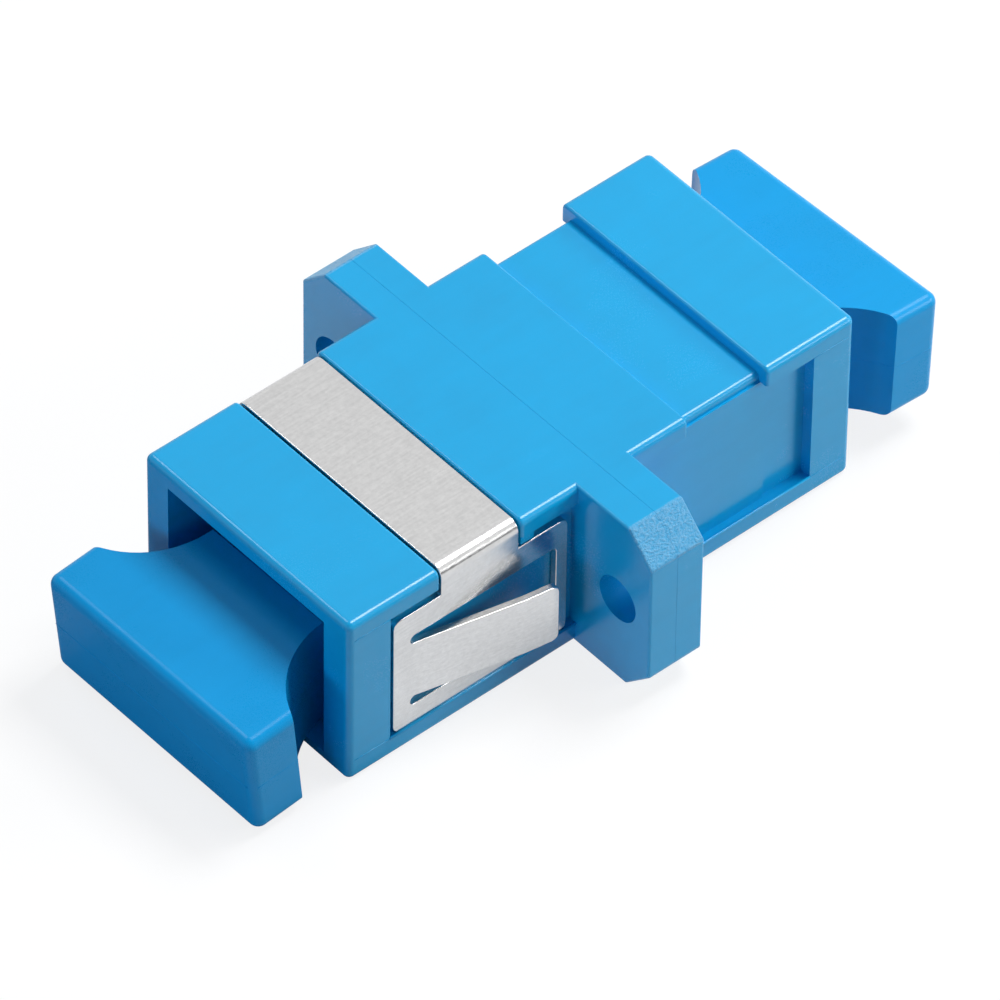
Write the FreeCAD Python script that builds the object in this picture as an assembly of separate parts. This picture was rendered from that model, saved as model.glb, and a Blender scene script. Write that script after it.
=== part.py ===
import FreeCAD, Part

import math
import os

# SC fibre adapter, millimetres. +Y is the optical axis and runs to the rear, +X along the flange, +Z up.
# The origin is on the optical axis, midway along the alignment sleeve, where the two housing halves meet.
# The front half carries the spring clip.
# The rear housing half, latch insert and dust cap are the front mouldings turned half a turn.

# Housing: body, flange and the panel interface
body_width = 12.92
body_height = 9.14
body_length = 27.5
edge_radius = 0.33
flange_thickness = 2.9
ear_chamfer = 1.4
ear_edge_radius = 0.12
screw_pitch = 18.0
screw_hole_edge = 2.0
screw_hole_radius = 1.12
weld_chamfer = 0.012

# Housing: the socket for the plug
socket_top_wall = 0.845
socket_width = 9.86
socket_bottom_wall = 0.61
keyway_width = 2.6
keyway_depth = 0.36
keyway_length = 6.0

# Housing: the saddle that the clip sits on, and the side pockets for its plates
saddle_start = 4.52
saddle_end = 8.87
saddle_depth = 0.54
saddle_side_drop = 0.11
saddle_corner = 0.25
saddle_lip_radius = 0.15
pocket_depth = 0.4
pocket_top_strip = 0.98
pocket_bottom_strip = 1.1
pocket_end = 11.5
mark_recess_start = 9.2
mark_recess_depth = 0.15
stop_length = 0.68
stop_drop = 0.32

# Latch insert: plate, sleeve holder and latch arms
plate_width = 10.7
plate_height = 7.9
plate_thickness = 1.0
seat_clearance = 0.05
holder_radius = 2.05
holder_lip_length = 0.2
holder_nose_chamfer = 0.2
holder_lip_clearance = 0.2
arm_grip_gap = 0.35
arm_thickness = 0.8
arm_height = 3.5
arm_end_gap = 0.65
arm_root_radius = 0.5
hook_height = 0.35
hook_lead = 0.65
hook_flat = 0.6
hook_catch = 0.25

# Alignment sleeve
ferrule_bore_radius = 1.2475
sleeve_wall = 0.3525
sleeve_length = 11.4
sleeve_slot = 0.4
sleeve_clearance = 0.05

# Panel clip: folded spring steel
sheet = 0.35
clip_clearance = 0.02
clip_band_gap = 0.17
clip_bend_inside = 0.2
band_side_gap = 0.1
clip_plate_front_gap = 0.2
clip_plate_flange_gap = 0.5
clip_plate_top_gap = 0.49
clip_plate_bottom_gap = 0.03
clip_corner_radius = 0.4
tongue_middle = -0.3
tongue_height = 3.14
tongue_slot = 0.47
tongue_root = 1.15
tongue_window_end = 0.62
tongue_tip = 2.1
tongue_rise = 1.2
tongue_knee = 0.95
tongue_tip_rise = 0.08
tongue_knee_radius = 5.0
tongue_corner = 0.35

# Dust cap: grip, waist and the hollow plug that the latch hooks hold
grip_width = 12.74
grip_height = 5.52
grip_outer = 5.1
neck_width = 6.9
neck_reach = 1.45
waist_radius = 4.35
grip_edge_radius = 0.48
tube_width = 5.2
tube_height = 5.24
tube_corner = 0.95
tube_reach = 3.15
tube_bore_radius = 2.1
tube_bore_depth = 4.6
front_cap_tilt = 5.5
front_cap_lip_gap = 0.01
front_cap_yaw = 0.4
rear_cap_tilt = 4.2
rear_cap_lip_gap = 0.95
rear_cap_push = 0.25
rear_cap_yaw = 0.4
rear_cap_roll = 2.4

# Worked out from the above
half_width = body_width / 2
half_height = body_height / 2
half_length = body_length / 2
half_flange = screw_pitch / 2 + screw_hole_edge
ear_face = flange_thickness / 2
saddle_floor = half_height - saddle_depth
socket_top = half_height - socket_top_wall
socket_bottom = socket_bottom_wall - half_height
pocket_floor = half_width - pocket_depth
pocket_top = half_height - pocket_top_strip
pocket_bottom = -half_height + pocket_bottom_strip
clip_plate_top = pocket_top - clip_plate_top_gap
clip_plate_bottom = pocket_bottom + clip_plate_bottom_gap
sleeve_radius = ferrule_bore_radius + sleeve_wall
sleeve_seat_radius = sleeve_radius + sleeve_clearance
sleeve_seat_end = sleeve_length / 2 + sleeve_clearance
holder_reach = sleeve_seat_end + holder_lip_length
holder_lip_radius = ferrule_bore_radius + holder_lip_clearance
arm_inner = tube_width / 2 + arm_grip_gap + hook_height
arm_reach = half_length - neck_reach - arm_end_gap
margin = 1.0


def box(x0, x1, y0, y1, z0, z1):
    """A block between two corners."""
    return Part.makeBox(x1 - x0, y1 - y0, z1 - z0, FreeCAD.Vector(x0, y0, z0))


def rod(radius, y0, y1, x=0.0, z=0.0):
    """A cylinder along Y."""
    return Part.makeCylinder(radius, y1 - y0, FreeCAD.Vector(x, y0, z), FreeCAD.Vector(0, 1, 0))


def both_sides(shape):
    """The shape and its mirror image across the YZ plane."""
    return [shape, shape.mirror(FreeCAD.Vector(0, 0, 0), FreeCAD.Vector(1, 0, 0))]


def turned(shape):
    """A copy turned half a turn about Z, for the rear half."""
    copy = shape.copy()
    copy.rotate(FreeCAD.Vector(0, 0, 0), FreeCAD.Vector(0, 0, 1), 180)
    return copy


def prism(outline, axis, start, depth):
    """A straight prism on a closed outline: in X and Z along Y, or in X and Y along Z."""
    if axis == "y":
        points = [FreeCAD.Vector(a, start, b) for a, b in outline]
        direction = FreeCAD.Vector(0, depth, 0)
    else:
        points = [FreeCAD.Vector(a, b, start) for a, b in outline]
        direction = FreeCAD.Vector(0, 0, depth)
    wire = Part.makePolygon(points + [points[0]])
    return Part.Face(wire).extrude(direction)


def near(a, b):
    """Whether two lengths agree."""
    return abs(a - b) < 1e-4


def edges_of(shape, test):
    """The edges whose bounding box passes the test."""
    return [e for e in shape.Edges if test(e.BoundBox)]


def flat_in(low, high, value):
    """Whether an edge's extent lies in one plane at that value."""
    return near(low, value) and near(high, value)


def body_block():
    """The solid body of the front half, its long and front edges rounded."""
    block = box(-half_width, half_width, -half_length, 0, -half_height, half_height)
    front = edges_of(block, lambda b: flat_in(b.YMin, b.YMax, -half_length))
    long_edges = edges_of(block, lambda b: b.YLength > half_length / 2)
    return block.makeFillet(edge_radius, front + long_edges)


def ear_block():
    """The flange of the front half: a bar across the body with its four corners chamfered."""
    block = box(-half_flange, half_flange, -ear_face, 0, -half_height, half_height)
    corners = edges_of(block, lambda b: near(b.YLength, ear_face))
    block = block.makeChamfer(ear_chamfer, corners)
    outer = edges_of(block, lambda b: not flat_in(b.YMin, b.YMax, 0))
    block = block.makeFillet(ear_edge_radius, outer)
    for side in (-1, 1):
        block = block.cut(rod(screw_hole_radius, -flange_thickness, margin, side * screw_pitch / 2))
    return block


def saddle_cut():
    """What is taken off the top and upper sides for the clip's band."""
    core_side = pocket_floor - saddle_side_drop
    core = box(-core_side, core_side, -saddle_end, -saddle_start, 0, saddle_floor)
    top_edges = edges_of(core, lambda b: flat_in(b.ZMin, b.ZMax, saddle_floor) and b.XLength < margin)
    core = core.makeFillet(saddle_corner, top_edges)
    reach = half_width + margin
    whole = box(-reach, reach, -saddle_end, -saddle_start, pocket_top, half_height + margin)
    return whole.cut(core)


def pocket_cut():
    """The side pocket for one of the clip's plates."""
    return box(pocket_floor, half_width + margin, -pocket_end, -ear_face, pocket_bottom, pocket_top)


def clip_stop():
    """The stop that is left in the right pocket, beside the clip's neck."""
    stop_back = -saddle_start + stop_length
    stop_bottom = pocket_top - stop_drop
    return box(pocket_floor, half_width + margin, -saddle_start, stop_back, stop_bottom, pocket_top)


def mark_recess():
    """The deeper field for the cavity mark, on one side of each half only."""
    floor = pocket_floor - mark_recess_depth
    return box(-half_width - margin, -floor, -pocket_end, -mark_recess_start, pocket_bottom, pocket_top)


def socket_cut():
    """The plug's socket, its keyway and the seat for the latch insert's plate."""
    seat_depth = plate_thickness + seat_clearance
    half_seat = plate_width / 2 + seat_clearance
    seat_height = plate_height / 2 + seat_clearance
    half_socket = socket_width / 2
    socket = box(-half_socket, half_socket, -half_length - margin, 0, socket_bottom, socket_top)
    seat = box(-half_seat, half_seat, -seat_depth, margin, -seat_height, seat_height)
    key_back = -half_length + keyway_length
    key_low = socket_bottom - keyway_depth
    keyway = box(-keyway_width / 2, keyway_width / 2, -half_length - margin, key_back, key_low, 0)
    return socket.fuse(seat).fuse(keyway)


def round_saddle_lips(shape):
    """Rounds the top edges on both sides of the saddle, down to the pockets."""
    def on_lip(b):
        at_end = flat_in(b.YMin, b.YMax, -saddle_end)
        at_start = flat_in(b.YMin, b.YMax, -saddle_start)
        return (at_end or at_start) and b.ZMax > half_height - edge_radius - 1e-4

    return shape.makeFillet(saddle_lip_radius, edges_of(shape, on_lip))


def break_weld_edge(shape):
    """The fine chamfer around the joint face, which leaves a hairline where the halves meet."""
    def outside(b):
        reaches_side = max(abs(b.XMin), abs(b.XMax)) > half_flange - ear_chamfer - 1e-4
        return flat_in(b.YMin, b.YMax, 0) and reaches_side

    return shape.makeChamfer(weld_chamfer, edges_of(shape, outside))


def housing_front():
    """The front half of the housing, one moulding."""
    half = body_block().fuse(ear_block()).removeSplitter()
    half = half.cut(saddle_cut())
    half = round_saddle_lips(half)
    right_pocket, left_pocket = both_sides(pocket_cut())
    half = half.cut(right_pocket.cut(clip_stop()))
    half = half.cut(left_pocket)
    half = half.cut(mark_recess())
    half = half.cut(socket_cut())
    return break_weld_edge(half)


def latch_arm():
    """One latch arm of the front insert, with its inward hook."""
    inner = arm_inner
    tip = arm_inner - hook_height
    outer = arm_inner + arm_thickness
    root = -plate_thickness / 2
    flat_end = -arm_reach + hook_lead
    flat_start = flat_end + hook_flat
    outline = [
        (outer, root),
        (outer, -arm_reach),
        (inner, -arm_reach),
        (tip, flat_end),
        (tip, flat_start),
        (inner, flat_start + hook_catch),
        (inner, root),
    ]
    return prism(outline, "z", -arm_height / 2, arm_height)


def latch_insert_front():
    """The front insert: a plate that carries the sleeve holder and two latch arms, one moulding."""
    half_plate = plate_width / 2
    half_rise = plate_height / 2
    plate = box(-half_plate, half_plate, -plate_thickness, 0, -half_rise, half_rise)
    upright = edges_of(plate, lambda b: near(b.YLength, plate_thickness))
    plate = plate.makeFillet(arm_root_radius, upright)
    holder = rod(holder_radius, -holder_reach, 0)
    nose = edges_of(holder, lambda b: flat_in(b.YMin, b.YMax, -holder_reach))
    holder = holder.makeChamfer(holder_nose_chamfer, nose)
    insert = plate.fuse(holder)
    for arm in both_sides(latch_arm()):
        insert = insert.fuse(arm)
    insert = insert.cut(rod(sleeve_seat_radius, -sleeve_seat_end, margin))
    insert = insert.cut(rod(holder_lip_radius, -holder_reach - margin, 0))
    return insert.removeSplitter()


def alignment_sleeve():
    """The split sleeve that lines up the two ferrules."""
    half = sleeve_length / 2
    tube = rod(sleeve_radius, -half, half).cut(rod(ferrule_bore_radius, -half, half))
    slot = box(-sleeve_slot / 2, sleeve_slot / 2, -half, half, 0, sleeve_radius + margin)
    return tube.cut(slot)


def clip_hoop():
    """The band over the saddle and the two necks down its sides, as one bent strip."""
    inner = pocket_floor + clip_clearance
    under = saddle_floor + clip_band_gap
    leg_end = clip_plate_top - sheet
    y0 = -saddle_end + band_side_gap
    y1 = -saddle_start - band_side_gap
    outer_block = box(-inner - sheet, inner + sheet, y0, y1, leg_end, under + sheet)
    inner_block = box(-inner, inner, y0, y1, leg_end, under)

    def top_corners(block):
        return edges_of(block, lambda b: near(b.YLength, y1 - y0) and b.ZMin > under - 1e-4)

    outer_block = outer_block.makeFillet(clip_bend_inside + sheet, top_corners(outer_block))
    inner_block = inner_block.makeFillet(clip_bend_inside, top_corners(inner_block))
    return outer_block.cut(inner_block)


def tongue_cut(inner, y_root, y_end):
    """The window around the tongue, with rounded slot ends at its root."""
    low = tongue_middle - tongue_height / 2 - tongue_slot
    high = tongue_middle + tongue_height / 2 + tongue_slot
    x0 = inner - margin
    x1 = inner + sheet + margin
    window = box(x0, x1, y_root, y_end, low, high)
    keep = box(x0, x1, y_root, y_root + tongue_slot, low + tongue_slot, high - tongue_slot)
    window = window.cut(keep)
    for z in (low + tongue_slot / 2, high - tongue_slot / 2):
        start = FreeCAD.Vector(x0, y_root, z)
        end = Part.makeCylinder(tongue_slot / 2, x1 - x0, start, FreeCAD.Vector(1, 0, 0))
        window = window.fuse(end)
    return window


def tongue(outer, y_root, y_tip):
    """The spring tongue: a strip that leaves the plate, rises outwards and flattens near its tip."""
    y_start = y_root + tongue_slot
    y_knee = y_tip - tongue_knee
    a = FreeCAD.Vector(outer, y_start, 0)
    b = FreeCAD.Vector(outer + tongue_rise, y_knee, 0)
    c = FreeCAD.Vector(outer + tongue_rise + tongue_tip_rise, y_tip, 0)
    into = (b - a).normalize()
    away = (c - b).normalize()
    half_turn = math.acos(into.dot(away)) / 2
    setback = tongue_knee_radius * math.tan(half_turn)
    p = b - into * setback
    q = b + away * setback
    normal = FreeCAD.Vector(into.y, -into.x, 0) * -1
    centre = p + normal * tongue_knee_radius
    towards = (b - centre).normalize()
    middle = centre + towards * tongue_knee_radius
    low = tongue_middle - tongue_height / 2

    def offset(point, direction):
        return point - FreeCAD.Vector(direction.y, -direction.x, 0) * sheet

    def offset_arc(point):
        return centre + (point - centre).normalize() * (tongue_knee_radius - sheet)

    root = FreeCAD.Vector(outer, y_root, 0)
    root_inside = FreeCAD.Vector(outer - sheet, y_root, 0)
    bend_inside = FreeCAD.Vector(outer - sheet, y_start, 0)
    edges = [
        Part.makeLine(root, a),
        Part.makeLine(a, p),
        Part.Arc(p, middle, q).toShape(),
        Part.makeLine(q, c),
        Part.makeLine(c, offset(c, away)),
        Part.makeLine(offset(c, away), offset_arc(q)),
        Part.Arc(offset_arc(q), offset_arc(middle), offset_arc(p)).toShape(),
        Part.makeLine(offset_arc(p), bend_inside),
        Part.makeLine(bend_inside, root_inside),
        Part.makeLine(root_inside, root),
    ]
    strip = Part.Face(Part.Wire(Part.__sortEdges__(edges))).extrude(FreeCAD.Vector(0, 0, tongue_height))
    strip.translate(FreeCAD.Vector(0, 0, low))

    def across_tip(b):
        return b.YMin > y_tip - 2 * sheet and b.XLength > sheet / 2 and b.ZLength < 1e-4

    return strip.makeFillet(tongue_corner, edges_of(strip, across_tip))


def clip_plate():
    """One side plate of the clip, with its window and tongue."""
    inner = pocket_floor + clip_clearance
    outer = inner + sheet
    y0 = -pocket_end + clip_plate_front_gap
    y1 = -ear_face - clip_plate_flange_gap
    plate = box(inner, outer, y0, y1, clip_plate_bottom, clip_plate_top)
    corners = edges_of(plate, lambda b: near(b.XLength, sheet))
    plate = plate.makeFillet(clip_corner_radius, corners)
    y_root = y0 + tongue_root
    plate = plate.cut(tongue_cut(inner, y_root, y1 - tongue_window_end))
    return plate.fuse(tongue(outer, y_root, -ear_face - tongue_tip))


def panel_clip():
    """The saddle clip that holds the adapter in a panel: one folded sheet."""
    clip = clip_hoop()
    for plate in both_sides(clip_plate()):
        clip = clip.fuse(plate)
    return clip.removeSplitter()


def cap_outline():
    """The cap's plan: a straight grip, concave waists and the neck that enters the socket."""
    half_grip = grip_width / 2
    half_neck = neck_width / 2
    centre_x = half_neck + waist_radius
    run = math.sqrt(waist_radius ** 2 - (centre_x - half_grip) ** 2)
    shoulder = neck_reach - run
    swing = math.atan2(run, centre_x - half_grip) / 2
    mid_x = centre_x - waist_radius * math.cos(swing)
    mid_y = neck_reach - waist_radius * math.sin(swing)

    def at(x, y):
        return FreeCAD.Vector(x, y, -grip_height / 2)

    edges = [
        Part.makeLine(at(-half_grip, -grip_outer), at(half_grip, -grip_outer)),
        Part.makeLine(at(half_grip, -grip_outer), at(half_grip, shoulder)),
        Part.Arc(at(half_grip, shoulder), at(mid_x, mid_y), at(half_neck, neck_reach)).toShape(),
        Part.makeLine(at(half_neck, neck_reach), at(-half_neck, neck_reach)),
        Part.Arc(at(-half_neck, neck_reach), at(-mid_x, mid_y), at(-half_grip, shoulder)).toShape(),
        Part.makeLine(at(-half_grip, shoulder), at(-half_grip, -grip_outer)),
    ]
    return Part.Wire(edges)


def straight_cap():
    """The dust cap in its own frame: outward is -Y, and Y is nought at the housing's end face."""
    cap = Part.Face(cap_outline()).extrude(FreeCAD.Vector(0, 0, grip_height))
    half_grip = grip_width / 2

    def on_grip(b):
        outer_face = flat_in(b.YMin, b.YMax, -grip_outer)
        side = flat_in(b.XMin, b.XMax, half_grip) or flat_in(b.XMin, b.XMax, -half_grip)
        return outer_face or (side and b.YLength > margin)

    cap = cap.makeFillet(grip_edge_radius, edges_of(cap, on_grip))
    half_tube = tube_width / 2
    tube = box(-half_tube, half_tube, neck_reach / 2, tube_reach, -tube_height / 2, tube_height / 2)
    long_edges = edges_of(tube, lambda b: b.YLength > tube_reach / 2)
    tube = tube.makeFillet(tube_corner, long_edges)
    cap = cap.fuse(tube)
    cap = cap.cut(rod(tube_bore_radius, tube_reach - tube_bore_depth, tube_reach + margin))
    return cap.removeSplitter()


def seated_cap(tilt, lip_gap, push, yaw, roll):
    """The cap as it sits in the front socket, its outer end tipped down, above the mouth's lip."""
    cap = straight_cap()
    centre = FreeCAD.Vector(0, 0, 0)
    half_section = grip_height / 2 / math.cos(math.radians(tilt))
    cap.rotate(centre, FreeCAD.Vector(0, 1, 0), roll)
    cap.rotate(centre, FreeCAD.Vector(1, 0, 0), tilt)
    cap.rotate(centre, FreeCAD.Vector(0, 0, 1), yaw)
    cap.translate(FreeCAD.Vector(0, -half_length + push, socket_bottom + lip_gap + half_section))
    return cap


rear_cap = seated_cap(rear_cap_tilt, rear_cap_lip_gap, rear_cap_push, rear_cap_yaw, rear_cap_roll)
nodes = {
    "housing_front": housing_front(),
    "latch_insert_front": latch_insert_front(),
    "alignment_sleeve": alignment_sleeve(),
    "panel_clip": panel_clip(),
    "dust_cap_front": seated_cap(front_cap_tilt, front_cap_lip_gap, 0, front_cap_yaw, 0),
    "dust_cap_rear": turned(rear_cap),
}
nodes["housing_rear"] = turned(nodes["housing_front"])
nodes["latch_insert_rear"] = turned(nodes["latch_insert_front"])

os.makedirs("parts", exist_ok=True)
for name, shape in nodes.items():
    shape.exportStep("parts/" + name + ".step")
    print(name, "solids", len(shape.Solids), "valid", shape.isValid(), "volume", round(shape.Volume, 3))
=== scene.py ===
import math

import bpy
import numpy as np
from mathutils import Matrix, Vector


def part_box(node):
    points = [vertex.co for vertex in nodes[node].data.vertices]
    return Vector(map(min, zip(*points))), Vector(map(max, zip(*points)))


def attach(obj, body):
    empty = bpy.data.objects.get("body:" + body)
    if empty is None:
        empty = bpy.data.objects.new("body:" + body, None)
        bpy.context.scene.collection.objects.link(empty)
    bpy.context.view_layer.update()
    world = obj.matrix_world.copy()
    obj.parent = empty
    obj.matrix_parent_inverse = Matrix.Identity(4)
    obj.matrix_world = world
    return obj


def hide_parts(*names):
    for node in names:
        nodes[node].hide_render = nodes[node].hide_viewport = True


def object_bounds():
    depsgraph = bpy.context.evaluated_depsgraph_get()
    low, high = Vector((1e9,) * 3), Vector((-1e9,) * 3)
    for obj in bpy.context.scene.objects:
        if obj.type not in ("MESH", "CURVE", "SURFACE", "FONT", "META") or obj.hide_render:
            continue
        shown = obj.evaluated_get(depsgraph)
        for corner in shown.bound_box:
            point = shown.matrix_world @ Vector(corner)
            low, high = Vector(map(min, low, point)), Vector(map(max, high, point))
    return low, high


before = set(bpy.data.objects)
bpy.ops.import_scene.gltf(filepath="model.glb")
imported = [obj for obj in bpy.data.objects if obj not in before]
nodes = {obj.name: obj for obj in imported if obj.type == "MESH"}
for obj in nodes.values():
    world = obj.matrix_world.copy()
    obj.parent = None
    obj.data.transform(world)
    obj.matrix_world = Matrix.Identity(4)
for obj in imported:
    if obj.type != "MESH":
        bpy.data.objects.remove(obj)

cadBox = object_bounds()
mm = 0.001
near = 1e-6  # what differs by less counts as the same
scene = bpy.context.scene
scene.view_settings.view_transform = "Standard"

cameraLook = {
    "azimuth": 48.57,  # degrees, turned from the front towards the clip's right side
    "elevation": 45.97,
    "roll": 0.84,
    "distance": 502.6,  # millimetres from the target
    "target": (1.63, -1.44, 0.0),  # millimetres
    "lens": 438.88,
    "sensor": 36.0,
    "sees": (10.0, 20000.0),  # millimetres, from the nearest to the farthest
}

lampLook = {
    # name: azimuth and elevation it shines from, distance, width, height (millimetres), watts, colour
    "keyBox": (174.0, 62.0, 300.0, 120.0, 120.0, 0.67, (1, 1, 1)),
    "leftBox": (276.0, 58.0, 300.0, 90.0, 50.0, 0.1, (1, 1, 1)),
    "rightBox": (138.0, 20.0, 300.0, 160.0, 80.0, 0.36, (1, 1, 1)),
    "frontBox": (6.0, 14.0, 300.0, 220.0, 80.0, 0.27, (0.55, 0.76, 1)),
}

backdropLook = {
    "reach": 3.0,  # metres
    "skySeen": 1.0,  # what the camera, mirrors and glass see
    "skyLight": 0.12,  # what lights the object
    "ceiling": 0.45,  # how bright mirrors see the ceiling in front
    "board": 0.12,  # how bright they see a grey board at the back on the right
    "backWall": (0.3, 0.44),  # where the ceiling passes into the white wall at the back, as the ray's Y
    "lowWall": (0.66, 0.5),  # and into the white walls all round, as its Z
    "boardSide": (0.72, 0.82),  # where the board begins, as its X
    "paperSeen": 0.2,  # the floor's colour to the camera, beside its glow
    "paperGlow": 0.82,
    # in front of the object the floor is darker to thrown light and does not glow in reflections: a
    # painted shadow of the object
    "paperLight": (0.3, 0.5),  # its colour to reflections and thrown light, in front and farther back
    "mirroredGlow": (0.0, 0.52),  # its glow in reflections, in front and farther back
    "paintedShadowEdge": (-14.0, -9.0),  # millimetres along Y, where the one passes into the other
    "rightEdge": (6.0, 7.6),  # along X; beyond it the mirrored floor glows in front as well
}


def directionFrom(azimuth, elevation):
    # unit vector towards a place at that azimuth (0 is the front, -Y) and height angle
    a, e = math.radians(azimuth), math.radians(elevation)
    return Vector((math.sin(a) * math.cos(e), -math.cos(a) * math.cos(e), math.sin(e)))


def turnTowards(back, roll=0.0):
    # axes of a thing that looks along -back: right lies flat, up is back x right, both rolled
    flatRight = Vector((0, 0, 1)).cross(back).normalized()
    up = back.cross(flatRight)
    r = math.radians(roll)
    right = flatRight * math.cos(r) + up * math.sin(r)
    up = up * math.cos(r) - flatRight * math.sin(r)
    return Matrix((right, up, back)).transposed().to_4x4()


def addCamera(look):
    data = bpy.data.cameras.new("productCamera")
    data.lens = look["lens"]
    data.sensor_width = look["sensor"]
    data.clip_start, data.clip_end = (distance * mm for distance in look["sees"])
    camera = bpy.data.objects.new("productCamera", data)
    scene.collection.objects.link(camera)
    back = directionFrom(look["azimuth"], look["elevation"])
    target = Vector(look["target"]) * mm
    place = Matrix.Translation(target + back * look["distance"] * mm)
    camera.matrix_world = place @ turnTowards(back, look["roll"])
    scene.camera = camera


def addLamps(look):
    # soft boxes that face the object; a tinted one only fills the shade, and nothing mirrors it
    for name, (azimuth, elevation, distance, width, height, watts, color) in look.items():
        data = bpy.data.lights.new(name, "AREA")
        data.shape = "RECTANGLE"
        data.size = width * mm
        data.size_y = height * mm
        data.energy = watts
        data.color = color
        lamp = bpy.data.objects.new(name, data)
        scene.collection.objects.link(lamp)
        lamp.visible_glossy = color == (1, 1, 1)
        back = directionFrom(azimuth, elevation)
        lamp.matrix_world = Matrix.Translation(back * distance * mm) @ turnTowards(back)


def mathNode(tree, operation, first, second=None):
    node = tree.nodes.new("ShaderNodeMath")
    node.operation = operation
    for socket, value in zip(node.inputs, (first, second)):
        if isinstance(value, (int, float)):
            socket.default_value = value
        elif value is not None:
            tree.links.new(value, socket)
    return node.outputs["Value"]


def weighted(tree, *shares):
    # the sum of value times weight over the pairs
    total = None
    for value, weight in shares:
        part = mathNode(tree, "MULTIPLY", value, weight)
        total = part if total is None else mathNode(tree, "ADD", total, part)
    return total


def ramp(tree, value, low, high, toLow, toHigh, smooth=False):
    node = tree.nodes.new("ShaderNodeMapRange")
    if smooth:
        node.interpolation_type = "SMOOTHSTEP"
    node.inputs["From Min"].default_value = low
    node.inputs["From Max"].default_value = high
    node.inputs["To Min"].default_value = toLow
    node.inputs["To Max"].default_value = toHigh
    tree.links.new(value, node.inputs["Value"])
    return node.outputs["Result"]


def objectPlace(tree, stretch=(1, 1, 1)):
    # object coordinates, drawn out along an axis where its factor is small
    place = tree.nodes.new("ShaderNodeTexCoord").outputs["Object"]
    if stretch == (1, 1, 1):
        return place
    mapping = tree.nodes.new("ShaderNodeMapping")
    mapping.inputs["Scale"].default_value = stretch
    tree.links.new(place, mapping.inputs["Vector"])
    return mapping.outputs["Vector"]


def axesOf(tree, place):
    split = tree.nodes.new("ShaderNodeSeparateXYZ")
    tree.links.new(place, split.inputs["Vector"])
    return split.outputs


def seenRay(tree):
    # 1 for rays from the camera, mirrors and glass, 0 for rays that only light things
    path = tree.nodes.new("ShaderNodeLightPath")
    either = mathNode(tree, "MAXIMUM", path.outputs["Is Camera Ray"], path.outputs["Is Glossy Ray"])
    return mathNode(tree, "MAXIMUM", either, path.outputs["Is Transmission Ray"])


def addSky(look):
    # white wherever the camera looks; mirrors see white walls, a ceiling that is grey in front,
    # and the board
    world = bpy.data.worlds.new("studio")
    scene.world = world
    world.use_nodes = True
    tree = world.node_tree
    ray = axesOf(tree, tree.nodes.new("ShaderNodeTexCoord").outputs["Generated"])
    back = ramp(tree, ray["Y"], *look["backWall"], 0, 1, smooth=True)
    low = ramp(tree, ray["Z"], *look["lowWall"], 0, 1, smooth=True)
    right = ramp(tree, ray["X"], *look["boardSide"], 0, 1, smooth=True)
    bright = ramp(tree, mathNode(tree, "MAXIMUM", back, low), 0, 1, look["ceiling"], look["skySeen"])
    board = ramp(tree, mathNode(tree, "MULTIPLY", back, right), 0, 1, 1, look["board"])
    mirrored = mathNode(tree, "MULTIPLY", bright, board)
    change = mathNode(tree, "SUBTRACT", mirrored, look["skySeen"])
    path = tree.nodes.new("ShaderNodeLightPath")
    change = mathNode(tree, "MULTIPLY", path.outputs["Is Glossy Ray"], change)
    strength = tree.nodes.new("ShaderNodeMix")
    tree.links.new(seenRay(tree), strength.inputs["Factor"])
    strength.inputs["A"].default_value = look["skyLight"]
    tree.links.new(mathNode(tree, "ADD", change, look["skySeen"]), strength.inputs["B"])
    tree.links.new(strength.outputs["Result"], tree.nodes["Background"].inputs["Strength"])
    tree.nodes["Background"].inputs["Color"].default_value = (1, 1, 1, 1)


def studioPaper(look):
    # a glow over a plain tone, each with its own level for the camera and for mirrors and thrown light;
    # for mirrors and thrown light both are lower in front, a painted shadow of the object
    paper = bpy.data.materials.new("studioPaper")
    paper.use_nodes = True
    tree = paper.node_tree
    tree.nodes.clear()
    path = tree.nodes.new("ShaderNodeLightPath")
    direct = mathNode(tree, "ADD", path.outputs["Is Camera Ray"], path.outputs["Is Transmission Ray"])
    indirect = mathNode(tree, "SUBTRACT", 1.0, direct)
    floorAxes = axesOf(tree, objectPlace(tree))
    # 0 in front of the object, in its painted shadow, and 1 farther back; beside is 1 to the right of it
    outOfPaintedShadow, beside = (
        ramp(tree, floorAxes[axis], start * mm, full * mm, 0, 1, smooth=True)
        for axis, (start, full) in (("Y", look["paintedShadowEdge"]), ("X", look["rightEdge"]))
    )
    thrown = ramp(tree, outOfPaintedShadow, 0, 1, *look["paperLight"])
    mirrored = ramp(tree, mathNode(tree, "MAXIMUM", outOfPaintedShadow, beside), 0, 1, *look["mirroredGlow"])
    tone = weighted(tree, (direct, look["paperSeen"]), (indirect, thrown))
    shine = weighted(tree, (path.outputs["Is Glossy Ray"], mirrored), (direct, look["paperGlow"]))
    diffuse = tree.nodes.new("ShaderNodeBsdfDiffuse")
    glow = tree.nodes.new("ShaderNodeEmission")
    both = tree.nodes.new("ShaderNodeAddShader")
    out = tree.nodes.new("ShaderNodeOutputMaterial")
    tree.links.new(tone, diffuse.inputs["Color"])
    tree.links.new(shine, glow.inputs["Strength"])
    tree.links.new(diffuse.outputs[0], both.inputs[0])
    tree.links.new(glow.outputs[0], both.inputs[1])
    tree.links.new(both.outputs[0], out.inputs["Surface"])
    return paper


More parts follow.
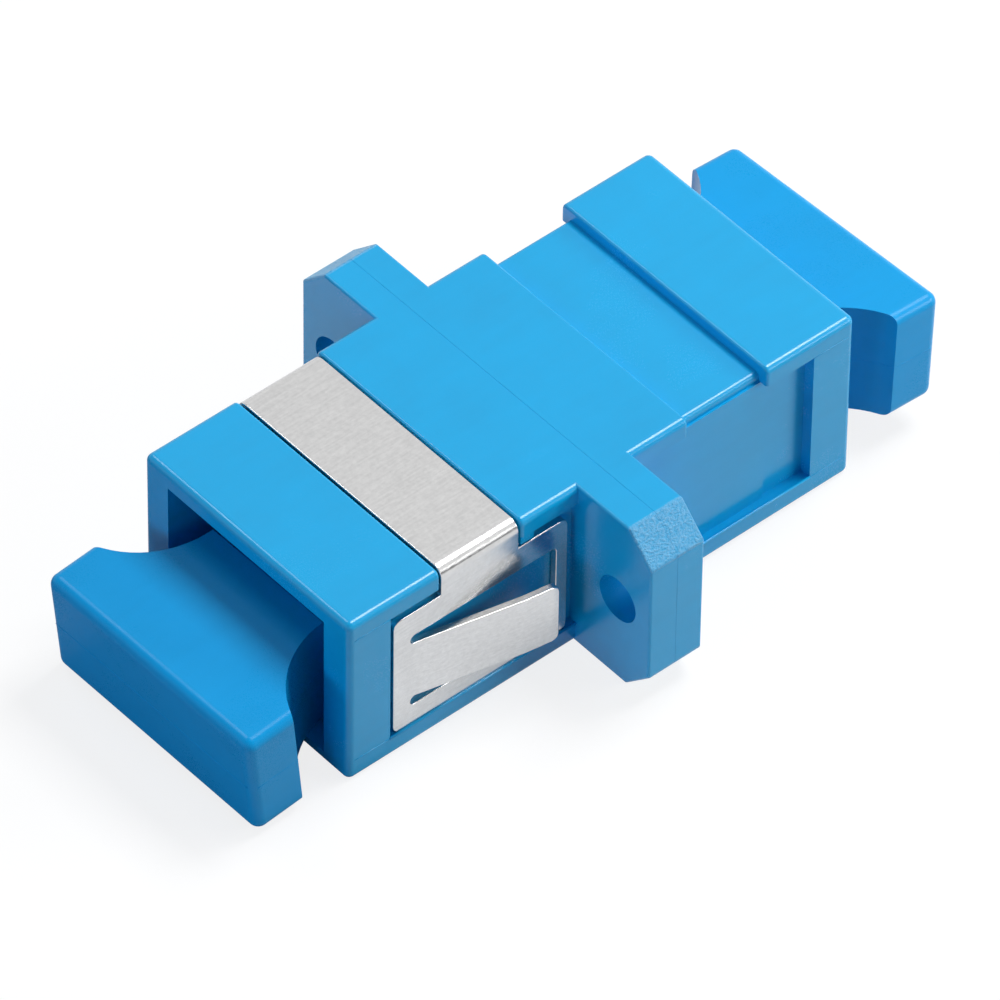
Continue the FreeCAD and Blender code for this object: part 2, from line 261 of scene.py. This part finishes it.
def addTable(look):
    # a square of paper at the height of the object's underside
    low, reach = cadBox[0][2], look["reach"]
    corners = [(x * reach, y * reach, low) for x, y in ((-1, -1), (1, -1), (1, 1), (-1, 1))]
    mesh = bpy.data.meshes.new("studioFloor")
    mesh.from_pydata(corners, [], [(0, 1, 2, 3)])
    mesh.materials.append(studioPaper(look))
    floor = bpy.data.objects.new("studioFloor", mesh)
    scene.collection.objects.link(floor)


addCamera(cameraLook)
addLamps(lampLook)
addSky(backdropLook)
addTable(backdropLook)
print("camera, lamps and backdrop are up")

plasticLook = {
    "housingBlue": {
        "color": (0.002, 0.392, 0.765), "roughness": 0.23, "specular": 0.43,
        "erosion": 0.3, "peel": 0.1, "frostedEars": True,
    },
    "insertBlue": {
        "color": (0.002, 0.35, 0.74), "roughness": 0.32, "specular": 0.3,
        "erosion": 0.3, "peel": 0.1, "frostedEars": False,
    },
    "capBlue": {
        "color": (0.001, 0.355, 0.775), "roughness": 0.31, "specular": 0.24,
        "erosion": 0.34, "peel": 0.16, "frostedEars": False,
    },
}

plasticGrain = {
    "clouds": 210.0,  # sizes of the patterns: a larger number is a finer one
    "streaks": 1500.0,
    "streakStretch": (1, 0.14, 1),
    "specks": 21000.0,
    "peel": 1700.0,
    "peelDepth": 0.012,  # millimetres
    "erosion": 13000.0,
    "erosionDepth": 0.006,
    "tones": (0.93, 1.05),  # darkest and lightest pigment, as shares of the colour
    "gloss": (0.85, 1.12),  # smoothest and roughest cloud, as shares of the roughness
    "speckGloss": 0.03,
}

earFrost = {
    "chamfer": 1.4,  # millimetres
    "start": 0.16,  # how far |x| + |z| falls short of the chamfer's where the coarse skin begins
    "full": 0.04,  # and where it is full
    "grain": 10500.0,
    "grainStretch": (1, 0.6, 1),
    "strength": 1.0,
    "depth": 0.11,
    "rougher": 0.12,
    # painted sheen: chamfer colours paler than the housing's, for the light that their rough skin catches
    "dark": (0.05, 0.41, 0.76),
    "light": (0.155, 0.49, 0.80),
}

steelLook = {
    "dark": (0.585, 0.585, 0.587),
    "light": (0.69, 0.69, 0.69),
    "roughness": (0.17, 0.25),
    "mottle": 5200.0,
    "mottleBump": 0.05,
    "mottleDepth": 0.008,
    "grain": 9500.0,
    "grainStretch": (1, 0.09, 1),
    "grainBump": 0.4,
    "grainDepth": 0.003,
}

ceramicLook = {
    "dark": (0.80, 0.78, 0.72),
    "light": (0.87, 0.86, 0.82),
    "roughness": (0.2, 0.34),
    "clouds": 700.0,
    "rings": 12000.0,
    "ringStretch": (0.05, 1, 0.05),
    "ringBump": 0.2,
    "ringDepth": 0.004,
}


def newMaterial(name):
    material = bpy.data.materials.new(name)
    material.use_nodes = True
    return material, material.node_tree, material.node_tree.nodes["Principled BSDF"]


def noise(tree, place, scale, detail=2.0, rough=0.5):
    node = tree.nodes.new("ShaderNodeTexNoise")
    node.inputs["Scale"].default_value = scale
    node.inputs["Detail"].default_value = detail
    node.inputs["Roughness"].default_value = rough
    tree.links.new(place, node.inputs["Vector"])
    return node.outputs["Fac"]


def bump(tree, height, strength, depth, under=None):
    # depth in millimetres; strength is a number or a mask
    node = tree.nodes.new("ShaderNodeBump")
    node.inputs["Distance"].default_value = depth * mm
    if isinstance(strength, (int, float)):
        node.inputs["Strength"].default_value = strength
    else:
        tree.links.new(strength, node.inputs["Strength"])
    tree.links.new(height, node.inputs["Height"])
    if under is not None:
        tree.links.new(under, node.inputs["Normal"])
    return node.outputs["Normal"]


def mixColors(tree, share, below, above):
    # either colour is three numbers or comes from another node
    node = tree.nodes.new("ShaderNodeMix")
    node.data_type = "RGBA"
    for socket, color in ((node.inputs["A"], below), (node.inputs["B"], above)):
        if isinstance(color, tuple):
            socket.default_value = (*color, 1)
        else:
            tree.links.new(color, socket)
    tree.links.new(share, node.inputs["Factor"])
    return node.outputs["Result"]


def frostEars(tree, look, color, rough, normal):
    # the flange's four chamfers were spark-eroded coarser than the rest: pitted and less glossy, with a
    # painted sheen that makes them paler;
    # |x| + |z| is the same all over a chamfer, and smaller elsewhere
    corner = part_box("housing_front")[1]
    edge = corner[0] + corner[2] - look["chamfer"] * mm
    across = axesOf(tree, objectPlace(tree))
    x, z = (mathNode(tree, "ABSOLUTE", across[axis]) for axis in ("X", "Z"))
    start, full = edge - look["start"] * mm, edge - look["full"] * mm
    mask = ramp(tree, mathNode(tree, "ADD", x, z), start, full, 0, 1)
    pits = noise(tree, objectPlace(tree, look["grainStretch"]), look["grain"], 3.0, 0.62)
    normal = bump(tree, pits, mathNode(tree, "MULTIPLY", mask, look["strength"]), look["depth"], normal)
    rough = mathNode(tree, "ADD", rough, mathNode(tree, "MULTIPLY", mask, look["rougher"]))
    # painted sheen: the chamfers' pale colour, lighter on the pits, stands in for light their rough skin
    # catches
    paintedSheen = mixColors(tree, ramp(tree, pits, 0.4, 0.62, 0, 1), look["dark"], look["light"])
    return mixColors(tree, mask, color, paintedSheen), rough, normal


def mouldedPlastic(name, look, grain):
    # pigment clouds and flow streaks in the colour, a fine eroded skin over a slow orange peel
    material, tree, shader = newMaterial(name)
    shader.inputs["IOR"].default_value = 1.5
    shader.inputs["Specular IOR Level"].default_value = look["specular"]
    place = objectPlace(tree)
    clouds = noise(tree, place, grain["clouds"], 4.0, 0.55)
    streaks = noise(tree, objectPlace(tree, grain["streakStretch"]), grain["streaks"], 3.0)
    specks = noise(tree, place, grain["specks"], 1.0)
    tone = weighted(tree, (clouds, 0.6), (streaks, 0.25), (specks, 0.15))
    dark, light = (tuple(np.array(look["color"]) * share) for share in grain["tones"])
    color = mixColors(tree, ramp(tree, tone, 0.3, 0.7, 0, 1), dark, light)
    smoothest, roughest = (look["roughness"] * share for share in grain["gloss"])
    rough = ramp(tree, clouds, 0.3, 0.7, smoothest, roughest)
    speckled = ramp(tree, specks, 0.35, 0.65, -grain["speckGloss"], grain["speckGloss"])
    rough = mathNode(tree, "ADD", rough, speckled)
    normal = bump(tree, noise(tree, place, grain["peel"]), look["peel"], grain["peelDepth"])
    pits = noise(tree, place, grain["erosion"], 2.5, 0.6)
    normal = bump(tree, pits, look["erosion"], grain["erosionDepth"], normal)
    if look["frostedEars"]:
        color, rough, normal = frostEars(tree, earFrost, color, rough, normal)
    tree.links.new(color, shader.inputs["Base Color"])
    tree.links.new(rough, shader.inputs["Roughness"])
    tree.links.new(normal, shader.inputs["Normal"])
    return material


def springSteel(look):
    # cold-rolled strip: long grain along its length over a mottled matt skin
    material, tree, shader = newMaterial("springSteel")
    shader.inputs["Metallic"].default_value = 1.0
    mottle = noise(tree, objectPlace(tree), look["mottle"], 4.0, 0.6)
    grain = noise(tree, objectPlace(tree, look["grainStretch"]), look["grain"], 3.0, 0.6)
    tone = weighted(tree, (mottle, 0.5), (grain, 0.5))
    color = mixColors(tree, ramp(tree, tone, 0.35, 0.65, 0, 1), look["dark"], look["light"])
    normal = bump(tree, mottle, look["mottleBump"], look["mottleDepth"])
    normal = bump(tree, grain, look["grainBump"], look["grainDepth"], normal)
    tree.links.new(color, shader.inputs["Base Color"])
    tree.links.new(ramp(tree, tone, 0.3, 0.7, *look["roughness"]), shader.inputs["Roughness"])
    tree.links.new(normal, shader.inputs["Normal"])
    return material


def groundCeramic(look):
    # zirconia, ground round: very fine rings across the sleeve's length
    material, tree, shader = newMaterial("groundCeramic")
    rings = noise(tree, objectPlace(tree, look["ringStretch"]), look["rings"], 3.0)
    clouds = noise(tree, objectPlace(tree), look["clouds"], 3.0)
    color = mixColors(tree, clouds, look["dark"], look["light"])
    tree.links.new(color, shader.inputs["Base Color"])
    tree.links.new(ramp(tree, rings, 0.3, 0.7, *look["roughness"]), shader.inputs["Roughness"])
    tree.links.new(bump(tree, rings, look["ringBump"], look["ringDepth"]), shader.inputs["Normal"])
    return material


def dress(node, material):
    for slot in nodes[node].material_slots:
        slot.material = material


plastics = {name: mouldedPlastic(name, look, plasticGrain) for name, look in plasticLook.items()}
steel = springSteel(steelLook)
for end in ("front", "rear"):
    dress("housing_" + end, plastics["housingBlue"])
    dress("latch_insert_" + end, plastics["insertBlue"])
    dress("dust_cap_" + end, plastics["capBlue"])
dress("panel_clip", steel)
dress("alignment_sleeve", groundCeramic(ceramicLook))
print("plastic, steel and ceramic are on")


def addPiece(name, points, faces, material, body):
    # points in millimetres as rows of x, y, z; faces as rows of corner numbers
    used, corner = np.unique(faces, return_inverse=True)
    faces = corner.reshape(faces.shape)
    mesh = bpy.data.meshes.new(name)
    mesh.from_pydata((points[used] * mm).tolist(), [], faces.tolist())
    mesh.polygons.foreach_set("use_smooth", np.ones(len(faces), bool))
    mesh.materials.append(material)
    mesh.update()
    piece = bpy.data.objects.new(name, mesh)
    scene.collection.objects.link(piece)
    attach(piece, body)
    return piece


def gridFaces(rows, columns):
    # quads between neighbouring points of a grid that is stored row by row
    first = np.arange(rows - 1)[:, None] * columns + np.arange(columns - 1)[None, :]
    return np.stack([first, first + columns, first + columns + 1, first + 1], axis=-1)


clipLow, clipHigh = ([round(c / mm, 4) for c in corner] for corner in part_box("panel_clip"))
clipLook = {
    "side": 6.43,  # millimetres: outer faces of the side plates, and the band's top
    "top": clipHigh[2],
    "sheet": 0.35,
    "bend": 0.55,
    "band": (-8.77, -4.62),
    "plate": (clipLow[1], clipHigh[1]),
    "plateLow": clipLow[2],
    "plateHigh": 3.1,
    "corner": 0.4,
    "rootEnd": -10.15,  # where the slots' round ends are centred
    "windowEnd": -2.57,
    "tongue": (-1.87, 1.27),
    "slot": 0.47,
    "tip": -3.55,
    "tipCorner": 0.35,
    "rise": 1.28,
    "flatten": 0.95,
    "levelling": 0.09,  # how gradually the tongue levels off, as a share of its length
    "tipLift": 0.08,
    "deburr": 0.045,
    "deburrAngle": 50.0,  # degrees; edges sharper than this are rounded
    "cell": (0.16, 0.2),  # largest cells of the side plates, down and along
    "saddleCells": 11,
    "bendCells": 14,
}


def steps(marks, size):
    # the marks themselves and even steps of about that size between them
    counts = [max(1, math.ceil((b - a) / size)) for a, b in zip(marks, marks[1:])]
    parts = [np.linspace(a, b, count + 1)[:-1] for a, b, count in zip(marks, marks[1:], counts)]
    return np.append(np.concatenate(parts), marks[-1])


def clipMarks(look):
    # where cells have to end: down a side plate (z) and along the adapter (y)
    (y0, y1), (low, high) = look["plate"], look["tongue"]
    corner, tipCorner, slot = look["corner"], look["tipCorner"], look["slot"]
    down = [
        look["plateLow"], look["plateLow"] + corner, low - slot, low - slot / 2, low, low + tipCorner,
        high - tipCorner, high, high + slot / 2, high + slot, look["plateHigh"] - corner,
        look["plateHigh"], look["top"] - look["bend"],
    ]
    along = [
        y0, y0 + corner, look["rootEnd"] - slot / 2, look["rootEnd"], *look["band"],
        look["tip"] - tipCorner, look["tip"], look["windowEnd"] - slot / 2, look["windowEnd"],
        y1 - corner, y1,
    ]
    return down, along


def tongueLift(look, y):
    # grows evenly from the root, passes through a parabola at the knee, and is almost level at the tip
    span = look["tip"] - look["rootEnd"]
    along = np.clip((y - look["rootEnd"]) / span, 0, 1)
    knee = 1 - look["flatten"] / span
    soft = look["levelling"]
    ease = np.clip((along - knee + soft) / (2 * soft), 0, 1)
    lift = look["rise"] * np.minimum(along / knee, 1)
    lift = lift - look["rise"] / knee * soft * ease * (1 - ease)
    return lift + look["tipLift"] * np.clip((along - knee) / (1 - knee), 0, 1)


def metalCells(look, legStart, *grids):
    # true for the cells that are metal: the band over the top, and the plates but for their windows
    s, y, z = ((grid[:-1, :-1] + grid[1:, 1:]) / 2 for grid in grids)
    low, high = look["tongue"]
    onPlate = (np.abs(s) > legStart) & (z < look["plateHigh"])
    inBand = (y > look["band"][0]) & (y < look["band"][1])
    inWindow = (y > look["rootEnd"] - look["slot"] / 2) & (y < look["windowEnd"])
    inWindow &= (z > low - look["slot"]) & (z < high + look["slot"])
    isTongue = (z > low) & (z < high) & (y < look["tip"])
    return np.where(onPlate, ~inWindow | isTongue, inBand)


def roundSquare(y, z, cornerY, cornerZ, radius, inY, inZ):
    # the square at a corner is squeezed into a quarter disc: a, b -> a*sqrt(1-b*b/2), b*sqrt(1-a*a/2)
    a = (y - (cornerY + inY * radius)) * -inY / radius
    b = (z - (cornerZ + inZ * radius)) * -inZ / radius
    inside = (a > near) & (b > near) & (a < 1 + near) & (b < 1 + near)
    newY = cornerY + inY * radius - inY * radius * a * np.sqrt(np.clip(1 - b * b / 2, 0, 1))
    newZ = cornerZ + inZ * radius - inZ * radius * b * np.sqrt(np.clip(1 - a * a / 2, 0, 1))
    return np.where(inside, newY, y), np.where(inside, newZ, z)


def roundCorners(look, y, z, onSide, onTongue):
    # rounds the plate's and the slots' corners, then the tongue's tip; a corner is its y and z,
    # its radius, and the way to its inside along y and z
    (y0, y1), (low, high) = look["plate"], look["tongue"]
    slotEnd = look["slot"] / 2
    slotSides = ((low - look["slot"], 1), (high + look["slot"], -1))
    corners = [
        (cornerY, cornerZ, look["corner"], inY, inZ, onSide)
        for cornerZ, inZ in ((look["plateLow"], 1), (look["plateHigh"], -1))
        for cornerY, inY in ((y0, 1), (y1, -1))
    ]
    for cornerZ, inZ in (*slotSides, (low, -1), (high, 1)):
        corners.append((look["rootEnd"] - slotEnd, cornerZ, slotEnd, 1, inZ, onSide))
    for cornerZ, inZ in slotSides:
        corners.append((look["windowEnd"], cornerZ, slotEnd, -1, inZ, onSide))
    for cornerZ, inZ in ((low, 1), (high, -1)):
        corners.append((look["tip"], cornerZ, look["tipCorner"], -1, inZ, onTongue))
    newY, newZ = y, z
    for cornerY, cornerZ, radius, inY, inZ, part in corners:
        roundY, roundZ = roundSquare(y, z, cornerY, cornerZ, radius, inY, inZ)
        newY = np.where(part & (roundY != y), roundY, newY)
        newZ = np.where(part & (roundZ != z), roundZ, newZ)
    return newY, newZ


def panelClip(look):
    # one strip carried along a U: s runs over the saddle and down both sides, y runs along the adapter;
    # x and z are straight on the saddle, a quarter circle at each bend and straight again down the plate
    flat = look["side"] - look["bend"]
    arc = look["bend"] * math.pi / 2
    legStart = flat + arc
    shoulder = look["top"] - look["bend"]
    down, along = clipMarks(look)
    half = np.concatenate([
        np.linspace(0, flat, look["saddleCells"] + 1)[:-1],
        np.linspace(flat, legStart, look["bendCells"] + 1)[:-1],
        legStart + shoulder - steps(down, look["cell"][0])[::-1],
    ])
    s = np.concatenate([-half[:0:-1], half])
    y = steps(along, look["cell"][1])
    sGrid, yGrid = np.meshgrid(s, y, indexing="ij")
    away = np.abs(sGrid)
    turn = np.clip((away - flat) / look["bend"], 0, math.pi / 2)
    xGrid = np.where(away < flat, away, flat + look["bend"] * np.sin(turn))
    zGrid = np.where(away > legStart, shoulder - (away - legStart), shoulder + look["bend"] * np.cos(turn))

    low, high = look["tongue"]
    onSide = away >= legStart - near
    onTongue = onSide & (yGrid > look["rootEnd"]) & (yGrid < look["tip"] + near)
    onTongue &= (zGrid > low - near) & (zGrid < high + near)
    xGrid = np.where(onTongue, xGrid + tongueLift(look, yGrid), xGrid)
    metal = metalCells(look, legStart, sGrid, yGrid, zGrid)
    newY, newZ = roundCorners(look, yGrid, zGrid, onSide, onTongue)
    points = np.stack([np.sign(sGrid) * xGrid, newY, newZ], axis=-1).reshape(-1, 3)
    return points, gridFaces(len(s), len(y))[metal]


def addPanelClip(look):
    points, faces = panelClip(look)
    piece = addPiece("panelClip", points, faces, steel, "adapter")
    wall = piece.modifiers.new("sheet", "SOLIDIFY")
    wall.thickness = look["sheet"] * mm
    wall.offset = -1.0
    wall.use_even_offset = True
    edge = piece.modifiers.new("deburred", "BEVEL")
    edge.width = look["deburr"] * mm
    edge.segments = 2
    edge.limit_method = "ANGLE"
    edge.angle_limit = math.radians(look["deburrAngle"])
    edge.harden_normals = True
    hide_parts("panel_clip")


addPanelClip(clipLook)
print("the panel clip is folded")


def bead(path, radius, outward):
    # a round bead carried along an open path: eight circle points in the plane of outward and Z,
    # both ends closed
    turns = 8
    angle = np.linspace(0, 2 * math.pi, turns, endpoint=False)[None, :, None]
    ring = np.cos(angle) * outward[:, None, :] + np.sin(angle) * np.array([0, 0, 1.0])
    points = path[:, None, :] + radius * ring
    faces = gridFaces(len(path), turns + 1)
    faces = faces // (turns + 1) * turns + faces % (turns + 1) % turns
    lid = np.array([[0, 1, 2, 3], [0, 3, 4, 7], [4, 5, 6, 7]])
    farLid = lid[:, ::-1] + (len(path) - 1) * turns
    faces = np.concatenate([faces.reshape(-1, 4), lid, farLid])
    if np.dot(np.cross(path[1] - path[0], [0, 0, 1.0]), outward[0]) < 0:
        faces = faces[:, ::-1]  # the path runs the other way round, so every face is turned outwards
    return points.reshape(-1, 3), faces


capLook = {
    "gripWidth": 12.74,  # millimetres, the cap's plan as in its solid
    "gripOuter": 5.1,
    "neckWidth": 6.9,
    "neckReach": 1.45,
    "waist": 4.35,
    "seam": 0.012,
    "seamShort": 0.3,  # how far the parting line stays from the grip's corners
    "front": {"tilt": 5.5, "yaw": 0.4, "roll": 0.0, "push": 0.0, "height": -1.177, "body": "front_cap"},
    "rear": {"tilt": 4.2, "yaw": 0.4, "roll": 2.4, "push": 0.25, "height": -0.243, "body": "rear_cap"},
}


def capWaist(look, side):
    # the concave arc of one waist, from the neck's corner to the grip, with its outward direction
    halfGrip, halfNeck, radius = look["gripWidth"] / 2, look["neckWidth"] / 2, look["waist"]
    swing = np.linspace(0, math.acos((halfNeck + radius - halfGrip) / radius), 24)
    outward = np.stack([np.cos(swing), np.sin(swing), 0 * swing], axis=-1)
    path = np.array([halfNeck + radius, look["neckReach"], 0]) - radius * outward
    return path * [side, 1, 1], outward * [side, 1, 1]


def capRuns(look):
    # the parting line of a cap that lies level: along each waist and side, and across the outer face
    halfGrip, outer, short = look["gripWidth"] / 2, -look["gripOuter"], look["seamShort"]
    runs = {}
    for side, name in ((1, "Right"), (-1, "Left")):
        path, outward = capWaist(look, side)
        y = np.linspace(path[-1][1], outer + short, 6)[1:]
        straight = np.stack([side * halfGrip + 0 * y, y, 0 * y], axis=-1)
        aside = np.tile([side * 1.0, 0, 0], (len(y), 1))
        runs[name] = np.concatenate([path, straight]), np.concatenate([outward, aside])
    x = np.linspace(short - halfGrip, halfGrip - short, 8)
    runs["Face"] = np.stack([x, 0 * x + outer, 0 * x], axis=-1), np.tile([0, -1.0, 0], (len(x), 1))
    return runs


def capPlace(look, end):
    # turns of the cap about Y, X and Z, then its shift to the mouth; the rear one goes half a turn round
    pose = look[end]
    turn = Matrix.Rotation(math.radians(pose["roll"]), 3, "Y")
    turn = Matrix.Rotation(math.radians(pose["tilt"]), 3, "X") @ turn
    turn = Matrix.Rotation(math.radians(pose["yaw"]), 3, "Z") @ turn
    shift = Vector((0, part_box("housing_front")[0][1] / mm + pose["push"], pose["height"]))
    if end == "rear":
        half = Matrix.Rotation(math.pi, 3, "Z")
        turn, shift = half @ turn, half @ shift
    return np.array(turn), np.array(shift)


def addCapSeams(look):
    # fine beads, half sunk into the cap and turned with it
    for end in ("front", "rear"):
        turn, shift = capPlace(look, end)
        for name, (path, outward) in capRuns(look).items():
            points, faces = bead(path, look["seam"], outward)
            points = points @ turn.T + shift
            addPiece(end + "CapSeam" + name, points, faces, plastics["capBlue"], look[end]["body"])


addCapSeams(capLook)
print("the caps have their parting lines")

seamLook = {
    "side": 6.46,  # millimetres: the body's side faces
    "high": 3.59,
    "low": -3.47,
    "flange": 1.45,
    "pocketEnd": 11.5,
    "end": 13.4,
    "line": 0.016,
    "ledge": 0.075,
}


def addHousingSeams(look):
    # the lines that the mould's side inserts leave: along the end frames, and on the pockets' lower lips
    runs = (
        ("SeamHigh", look["high"], look["pocketEnd"], look["end"], look["line"]),
        ("SeamLow", look["low"], look["pocketEnd"], look["end"], look["line"]),
        ("Lip", look["low"], look["flange"], look["pocketEnd"], look["ledge"]),
    )
    for lengthwise, end in ((-1, "front"), (1, "rear")):
        for side, name in ((1, "Right"), (-1, "Left")):
            for label, z, start, stop, radius in runs:
                y = np.linspace(start, stop, 5) * lengthwise
                path = np.stack([0 * y + side * look["side"], y, 0 * y + z], axis=-1)
                points, faces = bead(path, radius, np.tile([side * 1.0, 0, 0], (len(y), 1)))
                addPiece(end + label + name, points, faces, plastics["housingBlue"], "adapter")


addHousingSeams(seamLook)
print("the housing has its mould lines")
